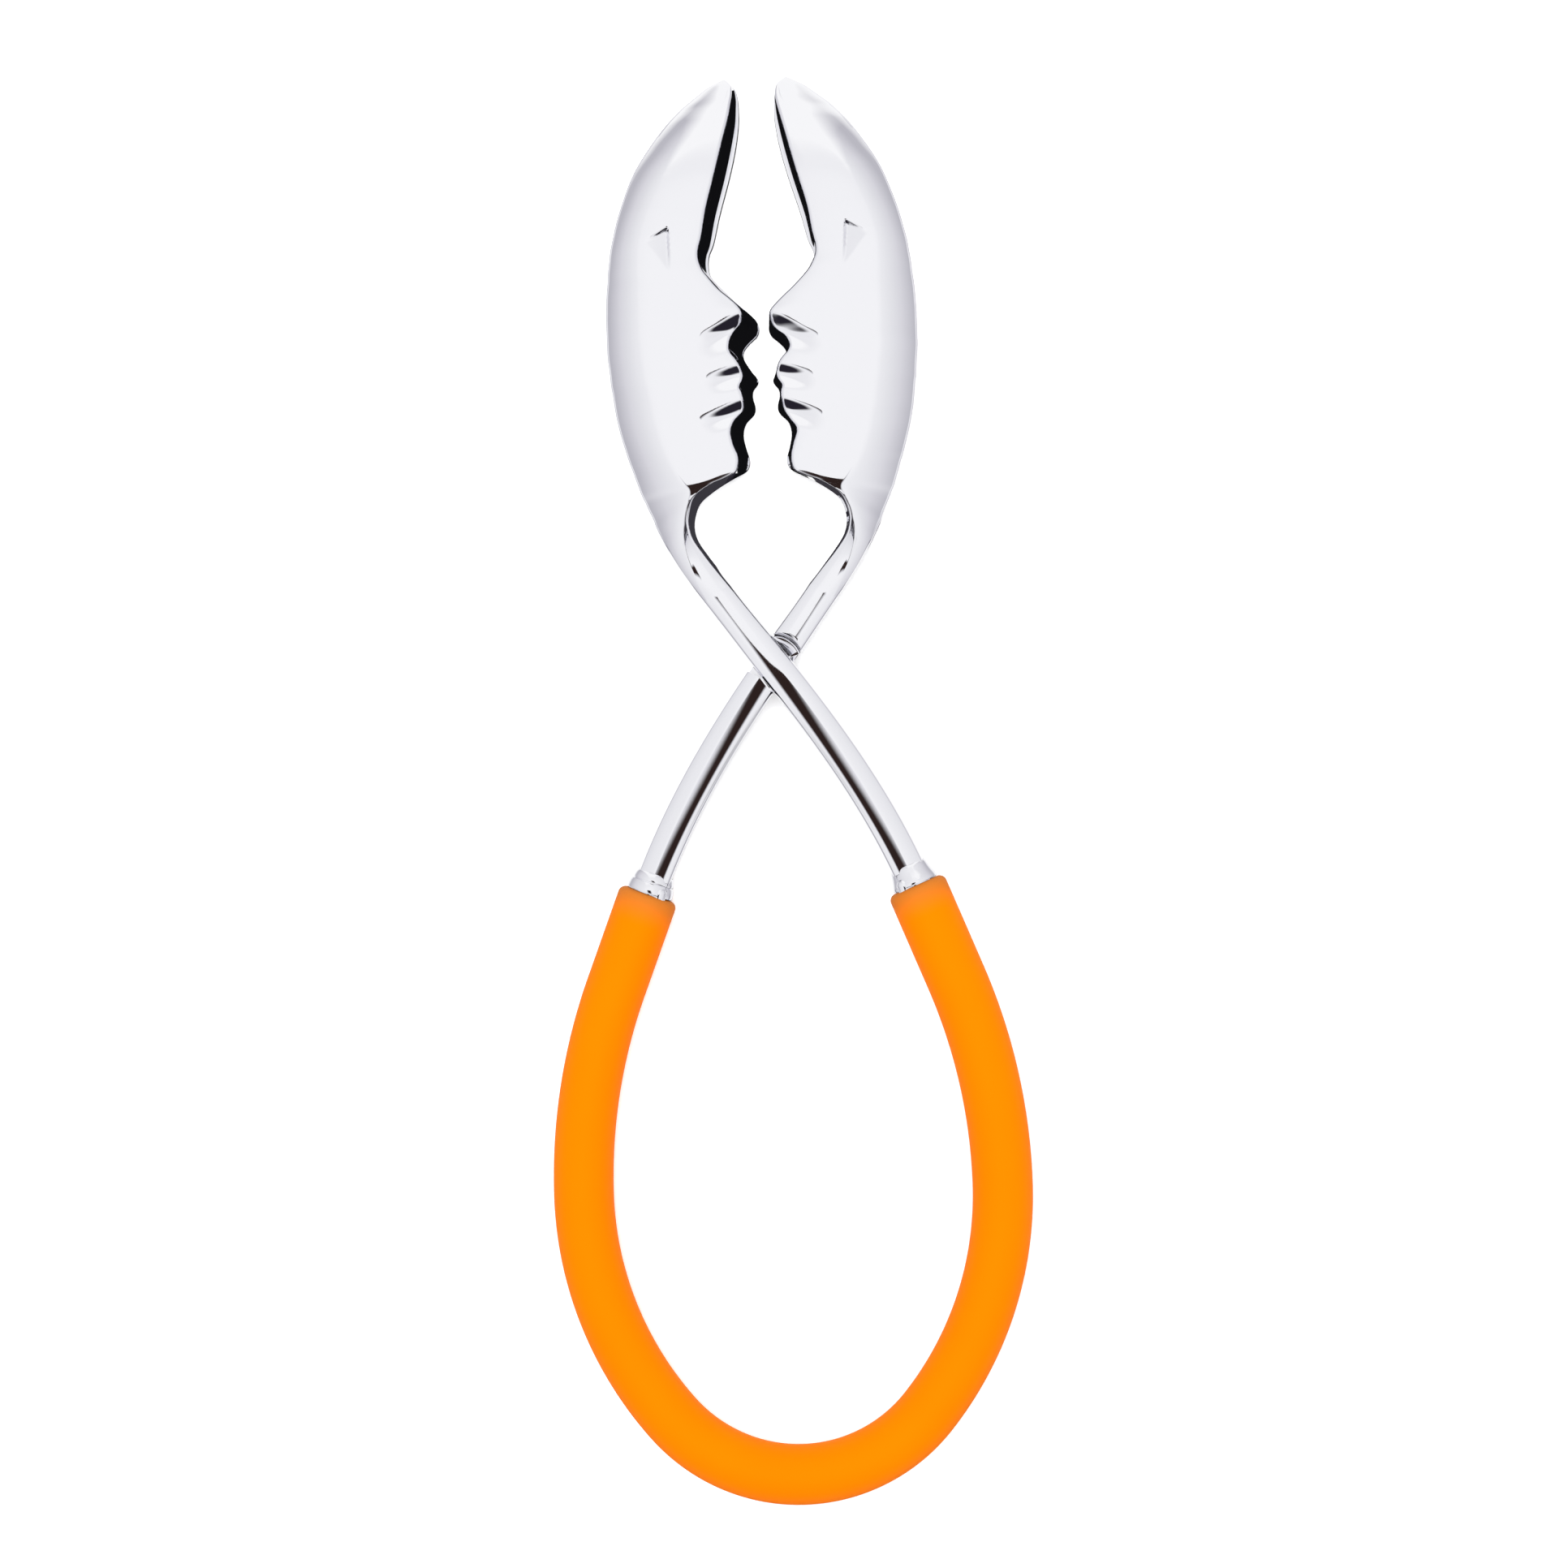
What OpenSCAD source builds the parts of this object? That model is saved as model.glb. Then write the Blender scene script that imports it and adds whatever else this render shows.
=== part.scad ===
// Scissor-type lobster cracker. Two cast jaws, each a crescent moon with a
// profile face, cross at a blind pivot. Their arms end in a spring-steel bow
// inside one soft tube that is the handle.
// Lying flat: X across, Y towards the jaw tips, Z up, resting on z = 0.

/* [Overall] */
// Overall length, from the bottom of the handle loop to the jaw tips
overall_length = 200; // [199:0.5:202]
// Thickness of a jaw from its flat back to the crown of its face
jaw_thickness = 11.5; // [10:0.5:13]

/* [Handle loop] */
// Outside diameter of the soft handle tube
tube_diameter = 8.4; // [7.6:0.1:8.8]
// Diameter of the spring-steel bow inside the tube
core_diameter = 3; // [2.4:0.1:3.2]
// Half width of the loop, measured at the tube's centreline
loop_half_width = 29.3; // [28.5:0.1:30.5]
// Lean of each tube mouth away from the lengthwise axis, in degrees
mouth_lean = 21.5; // [20:0.5:23]

/* [Arms and pivot] */
// Width of an arm, and its diameter where it enters the collar
arm_width = 4.7; // [4.4:0.1:5]
// Distance of the pivot from the middle of the overall length
pivot_y = 17.4; // [17:0.1:18]
// Height of the plane where the two half laps meet
lap_z = 6.2; // [5.8:0.1:6.6]
// Diameter of the pivot screw's shoulder
shoulder_diameter = 2.4; // [2:0.1:2.6]
// Thickness of the washer between the laps
washer_thickness = 0.4; // [0.3:0.1:0.5]

/* [Hidden] */

tip_y = overall_length / 2;
tube_r = tube_diameter / 2;
core_r = core_diameter / 2;
arm_r = arm_width / 2;
running = 0.05;              // radial clearance of a running fit
pivot = [0, pivot_y];

// Handle loop, from the mouth: a straight, two arcs and a bottom arc, all tangent
mouth_straight = 14;
shoulder_arc_r = 79;
flank_arc_r = 49;
flank_angle = 40;
bottom_arc_r = (loop_half_width - flank_arc_r * (1 - cos(flank_angle))) / cos(flank_angle);
bottom_arc_y = -tip_y + tube_r + bottom_arc_r;
widest_y = bottom_arc_y + (flank_arc_r - bottom_arc_r) * sin(flank_angle);
straight_x = loop_half_width - shoulder_arc_r * (1 - cos(mouth_lean));
straight_y = widest_y + shoulder_arc_r * sin(mouth_lean);
mouth = [
    straight_x - mouth_straight * sin(mouth_lean),
    straight_y + mouth_straight * cos(mouth_lean)
];

// Arm and its fittings at the tube mouth
arm_lean = 37;               // lean of the arm as it crosses the pivot, degrees
lap_half_height = 3.3;       // the arm is oval and deeper at the crossing
spigot_r = 2.2;
spigot_length = 12;
socket_depth = 9;
pin_r = 0.5;
pin_offset = 5;              // from the mouth to the cross pin in the spigot
collar_length = 3;
collar_top_r = 2.75;
collar_foot_r = 3.3;
lug_r = 1;
lug_reach = 0.9;
lug_angle = 37;              // from straight up towards the inside of the loop
mouth_gap = 0.1;
tube_lip_r = 1;
overlap = 0.2;               // how far the swept loop starts inside its straights

// Pivot screw and the round half laps
relief_r = 4.3;
shoulder_r = shoulder_diameter / 2;
thread_r = 1;
thread_length = 1.9;
head_r = 1.7;
head_height = 0.9;
driver_slot = 0.5;           // width of the screwdriver slot
arm_back_z = lap_z - lap_half_height;

// Sections across the jaw, from the tip to the arm: inner edge x, y, outer
// edge x, y, share of the full thickness, share of the oval arm section
JAW_SECTIONS = [
    [4, 100, 4.5, 100, 0.22, 0],
    [3, 98.7, 6.8, 98.7, 0.38, 0],
    [2.5, 96, 10.1, 96, 0.56, 0],
    [2.5, 93, 12.9, 93, 0.7, 0],
    [3.1, 90, 15, 90, 0.8, 0],
    [4.1, 86, 17.2, 86, 0.89, 0],
    [5, 82, 18.8, 82, 0.94, 0],
    [6, 78, 20, 78, 0.97, 0],
    [6.8, 75.2, 20.6, 75.2, 0.98, 0],
    [7.1, 73.6, 20.9, 73.6, 0.99, 0],
    [6.4, 71.8, 21.1, 71.8, 0.99, 0],
    [4.6, 69.8, 21.4, 69.8, 1, 0],
    [2.4, 67.6, 21.5, 67.8, 1, 0],
    [0.9, 65.6, 21.6, 66.2, 1, 0],
    [0.7, 64.4, 21.6, 64.8, 1, 0],
    [1.2, 63, 21.6, 63.4, 1, 0],
    [2.6, 61.6, 21.6, 62, 1, 0],
    [2.8, 60.6, 21.5, 60.8, 1, 0],
    [1.9, 58.9, 21.5, 59, 1, 0],
    [1.2, 57.2, 21.3, 57.2, 1, 0],
    [1.8, 55.9, 21.1, 56, 1, 0],
    [1.7, 54.4, 21, 54.6, 1, 0],
    [1.8, 53, 20.8, 53, 1, 0],
    [2.6, 51.6, 20.5, 51.4, 0.99, 0],
    [3.6, 50, 20.2, 50, 0.99, 0],
    [3.4, 48.4, 19.8, 48.4, 0.98, 0],
    [2.8, 46.6, 19.3, 46.4, 0.98, 0],
    [2.8, 45.2, 18.9, 44.8, 0.97, 0],
    [3.9, 43.9, 18.5, 43.2, 0.96, 0],
    [6.4, 42.5, 17.9, 41.6, 0.94, 0.05],
    [8.8, 41.1, 17.2, 39.8, 0.92, 0.15],
    [10.3, 39.4, 16.3, 37.8, 0.9, 0.3],
    [10.8, 37.4, 15.2, 35.8, 0.88, 0.5],
    [10.2, 35.3, 14.1, 33.6, 0.87, 0.65],
    [8.7, 33, 12.6, 31, 0.86, 0.8],
    [6.9, 30.6, 10.9, 28.5, 0.85, 0.95],
    [5.3, 28.5, 9.3, 26.2, 0.84, 1]
];
drawn_tip_y = 100;           // the sections are written for this tip position
ARM_STEPS = 14;              // sections of the arm between pivot and collar
OVAL_POINTS = 18;            // points round every section

function lerp(a, b, t) = a + (b - a) * t;

// A point of the wall-shaped jaw section: distance from the inner edge and
// height. k and h shrink the edge details where the crescent is narrow or thin.
function face_point(i, w, t) =
    let (k = min(1, w / 12), h = min(1, t / 8))
    [
        [1.3 * k, 0], [0.4 * k, 0.3 * h], [0, 1.0 * h], [0.25 * k, 1.7 * h],
        [0.7 * k, 2.2 * h], [1.2 * k, 0.85 * t], [1.6 * k, 0.9 * t], [3.2 * k, 0.955 * t],
        [0.45 * w, 0.99 * t], [w - 5.4 * k, t], [w - 3.8 * k, 0.95 * t],
        [w - 2.5 * k, 0.88 * t], [w - 1.3 * k, 0.78 * t], [w - 0.4 * k, 0.68 * t],
        [w, 1.6 * h], [w - 0.2 * k, 0.8 * h], [w - 0.6 * k, 0.3 * h], [w - 1.4 * k, 0]
    ][i];

// The oval arm section, in the same point order, from under the inner edge
function oval_point(i, w, z, h) =
    let (a = -70 + i * 320 / (OVAL_POINTS - 1))
    [w / 2 - w / 2 * cos(a), z + h * sin(a)];

function jaw_ring(s) =
    let (
        inner = [s[0], s[1] + tip_y - drawn_tip_y],
        across = [s[2] - s[0], s[3] - s[1]],
        w = norm(across)
    )
    [
        for (i = [0:OVAL_POINTS - 1])
        let (
            face = face_point(i, w, s[4] * jaw_thickness),
            q = lerp(face, oval_point(i, w, lap_z, lap_half_height), s[5]),
            p = inner + across * (q[0] / w)
        )
        [p[0], p[1], q[1]]
    ];

// Arm centreline: straight to the pivot, then a Hermite curve to the mouth of
// the opposite tube leg. Its oval section turns into a round one.
function arm_point(t) =
    let (
        target = [-mouth[0], mouth[1]],
        reach = norm(target - pivot),
        a = [-sin(arm_lean), -cos(arm_lean)] * reach,
        b = [-sin(mouth_lean), -cos(mouth_lean)] * reach,
        u = t * t * (3 - 2 * t)
    )
    pivot * (1 - u) + target * u + a * (t * (1 - t) * (1 - t)) - b * (t * t * (1 - t));

function arm_ring(t) =
    let (
        c = arm_point(t),
        d = arm_point(t + 0.01) - arm_point(t - 0.01),
        n = [-d[1], d[0]] / norm(d),
        ease = t * t * (3 - 2 * t),
        h = lerp(lap_half_height, arm_r, ease),
        z = lerp(lap_z, tube_r, ease)
    )
    [
        for (i = [0:OVAL_POINTS - 1])
        let (a = -70 + i * 320 / (OVAL_POINTS - 1), across = arm_r * cos(a))
        [c[0] - n[0] * across, c[1] - n[1] * across, z + h * sin(a)]
    ];

arm_end_t = 1 - (collar_length - 0.4) / norm([mouth[0], mouth[1] - pivot_y]);
CASTING_RINGS = concat(
    [for (s = JAW_SECTIONS) jaw_ring(s)],
    [for (k = [0:ARM_STEPS]) arm_ring(arm_end_t * k / ARM_STEPS)]
);

// A closed skin through a list of rings with equal point counts
module loft(rings) {
    count = len(rings[0]);
    last = len(rings) - 1;
    points = [for (r = rings) for (p = r) p];
    side = [
        for (j = [0:last - 1]) for (i = [0:count - 1])
        let (a = j * count + i, b = j * count + (i + 1) % count)
        each [[a, b, b + count], [a, b + count, a + count]]
    ];
    caps = [
        [for (i = [count - 1:-1:0]) i],
        [for (i = [0:count - 1]) last * count + i]
    ];
    polyhedron(points = points, faces = concat(side, caps), convexity = 6);
}

// Places children at the mouth of one tube leg, with +Z out of the mouth
module at_mouth(side) {
    translate([side * mouth[0], mouth[1], tube_r])
        rotate([-90, 0, side * mouth_lean])
            children();
}

// A jaw whose face is on +X and whose arm runs down to the -X tube leg.
// lap_side is +1 where the lap keeps its front half and -1 for the back half.
module casting(lap_side) {
    difference() {
        union() {
            loft(CASTING_RINGS);
            at_mouth(-1)
                translate([0, 0, -spigot_length])
                    cylinder(r = spigot_r, h = spigot_length + collar_length + 1.5, $fn = 48);
        }
        translate([pivot[0], pivot[1], lap_side > 0 ? -1 : lap_z - washer_thickness / 2])
            cylinder(r = relief_r, h = lap_z + 1 + washer_thickness / 2, $fn = 48);
        at_mouth(-1)
            translate([0, 0, -spigot_length - 1])
                cylinder(r = core_r + running, h = socket_depth + 1, $fn = 32);
        at_mouth(-1)
            translate([0, 0, -pin_offset])
                rotate([90, 0, 0])
                    cylinder(r = pin_r + running, h = 8, center = true, $fn = 24);
    }
}

module left_jaw() {
    color("Gainsboro")
        difference() {
            mirror([1, 0, 0])
                casting(1);
            translate([pivot[0], pivot[1], lap_z])
                cylinder(r = thread_r + 0.02, h = thread_length + 0.1, $fn = 32);
        }
}

module right_jaw() {
    color("Silver")
        difference() {
            casting(-1);
            translate([pivot[0], pivot[1], 0])
                cylinder(r = shoulder_r + running, h = lap_z, $fn = 32);
            translate([pivot[0], pivot[1], arm_back_z - 1])
                cylinder(r = head_r + running, h = 1 + head_height + 0.15, $fn = 32);
        }
}

// Shoulder screw from the back: head, shoulder in the back lap, threaded tail
module pivot_screw() {
    shoulder_length = lap_z + washer_thickness / 2 - arm_back_z - 0.15;
    color("DarkGray")
        difference() {
            translate([pivot[0], pivot[1], arm_back_z + 0.1])
                union() {
                    cylinder(r = head_r, h = head_height, $fn = 32);
                    cylinder(r = shoulder_r, h = shoulder_length, $fn = 32);
                    cylinder(r = thread_r, h = shoulder_length + thread_length - 0.2, $fn = 32);
                }
            translate([pivot[0], pivot[1], arm_back_z])
                cube([2 * head_r + 0.1, driver_slot, 0.8], center = true);
        }
}

module pivot_washer() {
    color("LightGray")
        translate([pivot[0], pivot[1], lap_z - washer_thickness / 2 + 0.02])
            difference() {
                cylinder(r = arm_r - 0.25, h = washer_thickness - 0.04, $fn = 48);
                translate([0, 0, -1])
                    cylinder(r = shoulder_r + running, h = 3, $fn = 32);
            }
}

// Flared ferrule on the arm's end, with a small rounded lug over the tube's lip
module collar(side) {
    at_mouth(side)
        difference() {
            union() {
                translate([0, 0, mouth_gap])
                    cylinder(r1 = collar_foot_r, r2 = collar_top_r, h = collar_length - mouth_gap, $fn = 48);
                rotate([0, 0, -90 - side * lug_angle])
                    translate([spigot_r + 0.3, 0, -lug_reach])
                        cylinder(r = lug_r, h = lug_reach + 1.2, $fn = 24);
            }
            translate([0, 0, -2])
                cylinder(r = spigot_r + 0.02, h = 4.6 - 0.02, $fn = 48);
            translate([0, 0, collar_length - 0.6])
                cylinder(r = arm_r + 0.12, h = 2, $fn = 48);
        }
}

module left_collar() {
    color("WhiteSmoke")
        collar(-1);
}

module right_collar() {
    color("WhiteSmoke")
        collar(1);
}

module core_pin(side) {
    at_mouth(side)
        translate([0, 0, -pin_offset])
            rotate([90, 0, 0])
                cylinder(r = pin_r, h = 2 * spigot_r - 0.1, center = true, $fn = 24);
}

module left_core_pin() {
    color("DimGray")
        core_pin(-1);
}

module right_core_pin() {
    color("DimGray")
        core_pin(1);
}

// Centreline of the loop below its two straights, as rows of x, y and the
// angle of the outward normal: shoulder arc, flank arc and bottom arc
function arc_rows(cx, cy, r, from, to, steps) = [
    for (k = [0:steps])
    let (a = lerp(from, to, k / steps))
    [cx + r * cos(a), cy + r * sin(a), a]
];

LEG_ROWS = concat(
    [[
        straight_x - overlap * sin(mouth_lean),
        straight_y + overlap * cos(mouth_lean),
        mouth_lean
    ]],
    arc_rows(loop_half_width - shoulder_arc_r, widest_y, shoulder_arc_r, mouth_lean, 5, 6),
    arc_rows(loop_half_width - flank_arc_r, widest_y, flank_arc_r, 0, -flank_angle + 4, 7),
    arc_rows(0, bottom_arc_y, bottom_arc_r, -flank_angle, -90, 8)
);
LOOP_ROWS = concat(
    LEG_ROWS,
    [for (k = [len(LEG_ROWS) - 2:-1:0]) [-LEG_ROWS[k][0], LEG_ROWS[k][1], 180 - LEG_ROWS[k][2]]]
);

// A round skin of radius r swept along the loop
module loop_sweep(r, sides) {
    loft([
        for (row = LOOP_ROWS)
        [
            for (i = [0:sides - 1])
            let (a = -360 * i / sides, across = r * cos(a))
            [row[0] + across * cos(row[2]), row[1] + across * sin(row[2]), tube_r + r * sin(a)]
        ]
    ]);
}

// Spring bow: straight tenons in the arm sockets, joined by the swept loop
module spring_core() {
    tenon_in = spigot_length - socket_depth + 0.3;
    color("SlateGray")
        difference() {
            union() {
                loop_sweep(core_r - 0.02, 12);
                for (side = [-1, 1])
                    at_mouth(side)
                        translate([0, 0, -mouth_straight])
                            cylinder(r = core_r, h = mouth_straight - tenon_in, $fn = 32);
            }
            for (side = [-1, 1])
                at_mouth(side)
                    translate([0, 0, -pin_offset])
                        rotate([90, 0, 0])
                            cylinder(r = pin_r + running, h = 8, center = true, $fn = 24);
        }
}

// The tube's straight end with its rounded lip, solid
module mouth_end() {
    rotate_extrude($fn = 48)
        polygon(concat(
            [[0, -mouth_straight], [tube_r, -mouth_straight]],
            [
                for (a = [0:15:90])
                [tube_r - tube_lip_r + tube_lip_r * cos(a), -tube_lip_r + tube_lip_r * sin(a)]
            ],
            [[0, 0]]
        ));
}

// What is taken out of an end: bore, wider seat for the spigot, notch for the lug
module mouth_bores(side) {
    translate([0, 0, -mouth_straight - 2 * overlap])
        cylinder(r = core_r + 0.15, h = mouth_straight + 1, $fn = 32);
    translate([0, 0, -spigot_length - 0.3])
        cylinder(r = spigot_r + 0.1, h = spigot_length + 1, $fn = 48);
    rotate([0, 0, -90 - side * lug_angle])
        translate([spigot_r + 0.3, 0, -lug_reach - 0.15])
            cylinder(r = lug_r + 0.15, h = 3, $fn = 24);
}

module handle_tube() {
    color("DarkOrange")
        difference() {
            union() {
                loop_sweep(tube_r, 20);
                for (side = [-1, 1])
                    at_mouth(side)
                        mouth_end();
            }
            loop_sweep(core_r + 0.12, 12);
            for (side = [-1, 1])
                at_mouth(side)
                    mouth_bores(side);
        }
}

left_jaw();
right_jaw();
pivot_screw();
pivot_washer();
left_collar();
right_collar();
left_core_pin();
right_core_pin();
spring_core();
handle_tube();
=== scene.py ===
import math

import bpy
import numpy as np
from mathutils import Matrix


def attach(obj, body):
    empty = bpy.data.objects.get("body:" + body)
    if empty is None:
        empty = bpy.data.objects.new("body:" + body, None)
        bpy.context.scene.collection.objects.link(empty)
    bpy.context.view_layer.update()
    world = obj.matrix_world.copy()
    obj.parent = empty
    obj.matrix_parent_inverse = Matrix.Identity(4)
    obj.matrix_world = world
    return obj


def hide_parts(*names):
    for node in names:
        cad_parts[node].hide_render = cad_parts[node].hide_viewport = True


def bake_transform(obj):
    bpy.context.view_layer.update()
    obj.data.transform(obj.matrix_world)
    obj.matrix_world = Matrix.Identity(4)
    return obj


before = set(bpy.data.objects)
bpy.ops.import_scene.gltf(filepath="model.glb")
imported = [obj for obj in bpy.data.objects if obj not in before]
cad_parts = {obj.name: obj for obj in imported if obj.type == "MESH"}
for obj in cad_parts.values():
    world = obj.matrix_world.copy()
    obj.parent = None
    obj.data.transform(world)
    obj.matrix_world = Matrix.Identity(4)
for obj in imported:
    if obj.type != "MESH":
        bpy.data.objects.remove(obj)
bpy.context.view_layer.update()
MM = 0.001


# ---------------------------------------------------------------- small tools

def linear(code):
    """A linear colour from an sRGB hex code, by the sRGB transfer curve."""
    out = []
    for k in (0, 2, 4):
        v = int(code[k:k + 2], 16) / 255
        out.append(v / 12.92 if v <= 0.04045 else ((v + 0.055) / 1.055) ** 2.4)
    return (*out, 1.0)


def add(tree, kind, at=(0, 0), links=(), **settings):
    """Adds one node. settings are its properties or input values, and links are
    (input, output socket) pairs."""
    made = tree.nodes.new(kind)
    made.location = at
    for name, value in settings.items():
        socket = made.inputs.get(name.replace("_", " ")) if name[0].isupper() else None
        if socket is not None:
            socket.default_value = value
        else:
            setattr(made, name, value)
    for name, source in links:
        tree.links.new(source, made.inputs[name])
    return made


def new_material(name):
    """A material with only a Principled shader and its output."""
    made = bpy.data.materials.new(name)
    made.use_nodes = True
    made.node_tree.nodes.clear()
    shader = add(made.node_tree, "ShaderNodeBsdfPrincipled")
    add(made.node_tree, "ShaderNodeOutputMaterial", (300, 0), [("Surface", shader.outputs[0])])
    return made, made.node_tree, shader


def smooth(x):
    """The smoothstep of x: 0 below 0, 1 above 1, and 3x^2 - 2x^3 between."""
    x = np.clip(x, 0, 1)
    return x * x * (3 - 2 * x)


def mesh_object(name, points, faces, material, sharp=40):
    """A smooth-shaded object from points in millimetres and a list of face
    arrays. Edges that bend by more than the sharp angle stay sharp."""
    mesh = bpy.data.meshes.new(name)
    sizes = np.concatenate([np.full(len(f), f.shape[1]) for f in faces])
    corners = np.concatenate([f.ravel() for f in faces])
    mesh.vertices.add(len(points))
    mesh.vertices.foreach_set("co", (np.asarray(points) * MM).astype(np.float32).ravel())
    mesh.loops.add(len(corners))
    mesh.loops.foreach_set("vertex_index", corners.astype(np.int32))
    mesh.polygons.add(len(sizes))
    mesh.polygons.foreach_set("loop_start", (np.cumsum(sizes) - sizes).astype(np.int32))
    mesh.update(calc_edges=True)
    mesh.shade_smooth()
    mesh.set_sharp_from_angle(angle=math.radians(sharp))
    mesh.materials.append(material)
    made = bpy.data.objects.new(name, mesh)
    bpy.context.scene.collection.objects.link(made)
    return made


def loft_faces(rings, count, start=0, closed=False):
    """Quads between neighbouring rings of equal point counts."""
    j = np.arange(rings if closed else rings - 1)[:, None]
    i = np.arange(count)[None, :]
    a, b = start + j * count + i, start + j * count + (i + 1) % count
    c, d = start + (j + 1) % rings * count + (i + 1) % count, start + (j + 1) % rings * count + i
    return np.stack([a, b, c, d], -1).reshape(-1, 4)


def fan(start, count, centre, outward):
    """Triangles that close a ring of points to a centre point. outward is True at
    the last ring of a loft and False at its first."""
    a = start + np.arange(count)
    b = start + (np.arange(count) + 1) % count
    pair = [a, b] if outward else [b, a]
    return np.stack([*pair, np.full(count, centre)], -1)


def mirrored(points, faces):
    """The mirror image in the plane x = 0, with the faces turned to match."""
    return points * np.array([-1, 1, 1]), [f[:, ::-1] for f in faces]


def combine(target, tools, operation):
    """Takes the solids away from the target, or joins them to it, for good and one
    after the other. operation is DIFFERENCE or UNION."""
    for tool in tools:
        change = target.modifiers.new("combine", "BOOLEAN")
        change.operation = operation
        change.solver = "EXACT"
        change.object = tool
        bpy.context.view_layer.update()
        evaluated = target.evaluated_get(bpy.context.evaluated_depsgraph_get())
        mesh = bpy.data.meshes.new_from_object(evaluated)
        target.modifiers.clear()
        old, target.data = target.data, mesh
        mesh.name = target.name
        bpy.data.meshes.remove(old)
        bpy.data.objects.remove(tool)
    target.data.shade_smooth()
    target.data.set_sharp_from_angle(angle=math.radians(40))


def cylinder(radius, low, high, place, sides=96):
    """A closed cylinder in millimetres along local Z, for cuts. place maps local
    points to the object's frame."""
    return lathe("cutter", [(0, low), (radius, low), (radius, high), (0, high)], CHROME, place, sides)


def lathe(name, profile, material, place, sides):
    """A closed solid turned from (radius, z) rows that begin and end on the axis."""
    rows = np.array(profile[1:-1], float)
    turn = np.arange(sides) * 2 * math.pi / sides
    ring = np.stack([
        rows[:, 0:1] * np.cos(turn), rows[:, 0:1] * np.sin(turn), rows[:, 1:2] + 0 * turn
    ], -1).reshape(-1, 3)
    points = np.concatenate([ring, [[0, 0, profile[0][1]], [0, 0, profile[-1][1]]]])
    bottom = fan(0, sides, len(ring), False)
    top = fan((len(rows) - 1) * sides, sides, len(ring) + 1, True)
    return mesh_object(name, place(points), [loft_faces(len(rows), sides), bottom, top], material, sharp=35)


# ---------------------------------------------------------------- materials

# Bright chrome plate on a polished casting: a mirror with a very slight haze.
CHROME, tree, shader = new_material("chrome_plate")
where = add(tree, "ShaderNodeTexCoord", (-900, 0))
haze = add(tree, "ShaderNodeTexNoise", (-700, 0), [("Vector", where.outputs["Object"])],
           Scale=400, Detail=2)
spread = add(tree, "ShaderNodeMapRange", (-500, 0), [("Value", haze.outputs[0])], To_Min=0.02, To_Max=0.06)
tree.links.new(spread.outputs[0], shader.inputs["Roughness"])
shader.inputs["Metallic"].default_value = 1
shader.inputs["Base Color"].default_value = linear("F6F6F9")

# Moulded silicone, satin, orange all the way through. A fine grain from the
# mould spreads the light, and the colour is a little deeper where it is dense.
SILICONE, tree, shader = new_material("orange_silicone")
where = add(tree, "ShaderNodeTexCoord", (-900, 0))
cloud = add(tree, "ShaderNodeTexNoise", (-700, 200), [("Vector", where.outputs["Object"])],
            Scale=60, Detail=2)
tint = add(tree, "ShaderNodeMix", (-400, 200), data_type="RGBA")
tint.inputs[6].default_value = linear("FA7A00")
tint.inputs[7].default_value = linear("FF8000")
tree.links.new(cloud.outputs[0], tint.inputs[0])
# Painted shade: within 4.5 mm of each tube mouth the orange turns to a darker, duller C8742A, which stands
# in for the shade by the collar.
rim = add(tree, "ShaderNodeAttribute", (-700, 400), attribute_name="mouth_shade")
mouth_shaded_tint = add(tree, "ShaderNodeMix", (-200, 300), data_type="RGBA")
tree.links.new(rim.outputs["Fac"], mouth_shaded_tint.inputs[0])
tree.links.new(tint.outputs[2], mouth_shaded_tint.inputs[6])
mouth_shaded_tint.inputs[7].default_value = linear("C8742A")
tree.links.new(mouth_shaded_tint.outputs[2], shader.inputs["Base Color"])
grain = add(tree, "ShaderNodeTexNoise", (-700, -200), [("Vector", where.outputs["Object"])],
            Scale=3000, Detail=2)
bump = add(tree, "ShaderNodeBump", (-300, -200), [("Height", grain.outputs[0])], Strength=0.15,
           Distance=0.00005)
tree.links.new(bump.outputs[0], shader.inputs["Normal"])
shader.inputs["Roughness"].default_value = 0.5
shader.inputs["Specular IOR Level"].default_value = 0.02

# Plain steel of the screw, washer, pins and spring bow: turned or drawn, grey,
# with fine marks in its roughness.
STEEL, tree, shader = new_material("plain_steel")
where = add(tree, "ShaderNodeTexCoord", (-900, 0))
marks = add(tree, "ShaderNodeTexNoise", (-700, 0), [("Vector", where.outputs["Object"])],
            Scale=1500, Detail=3)
spread = add(tree, "ShaderNodeMapRange", (-500, 0), [("Value", marks.outputs[0])], To_Min=0.25, To_Max=0.4)
tree.links.new(spread.outputs[0], shader.inputs["Roughness"])
shader.inputs["Metallic"].default_value = 1
shader.inputs["Base Color"].default_value = linear("B8B9BD")


# ---------------------------------------------------------------- shared lines

# Centreline of the handle loop, as in the CAD part: a straight from the mouth,
# a shoulder arc, a flank arc and a bottom arc, all tangent, resting on z = 0.
TUBE_R = 4.2
WIRE_R = 1.46
SPIGOT_R = 2.15
HALF_WIDTH = 29.3
LEAN = 21.5
SHOULDER_R = 79
FLANK_R = 49
FLANK = 40
BOTTOM_R = (HALF_WIDTH - FLANK_R * (1 - math.cos(math.radians(FLANK)))) / math.cos(math.radians(FLANK))
BOTTOM_Y = -100 + TUBE_R + BOTTOM_R
WIDEST_Y = BOTTOM_Y + (FLANK_R - BOTTOM_R) * math.sin(math.radians(FLANK))
STRAIGHT = 14
SIN, COS = math.sin(math.radians(LEAN)), math.cos(math.radians(LEAN))
MOUTH_X = HALF_WIDTH - SHOULDER_R * (1 - COS) - STRAIGHT * SIN
MOUTH_Y = WIDEST_Y + SHOULDER_R * SIN + STRAIGHT * COS


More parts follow.
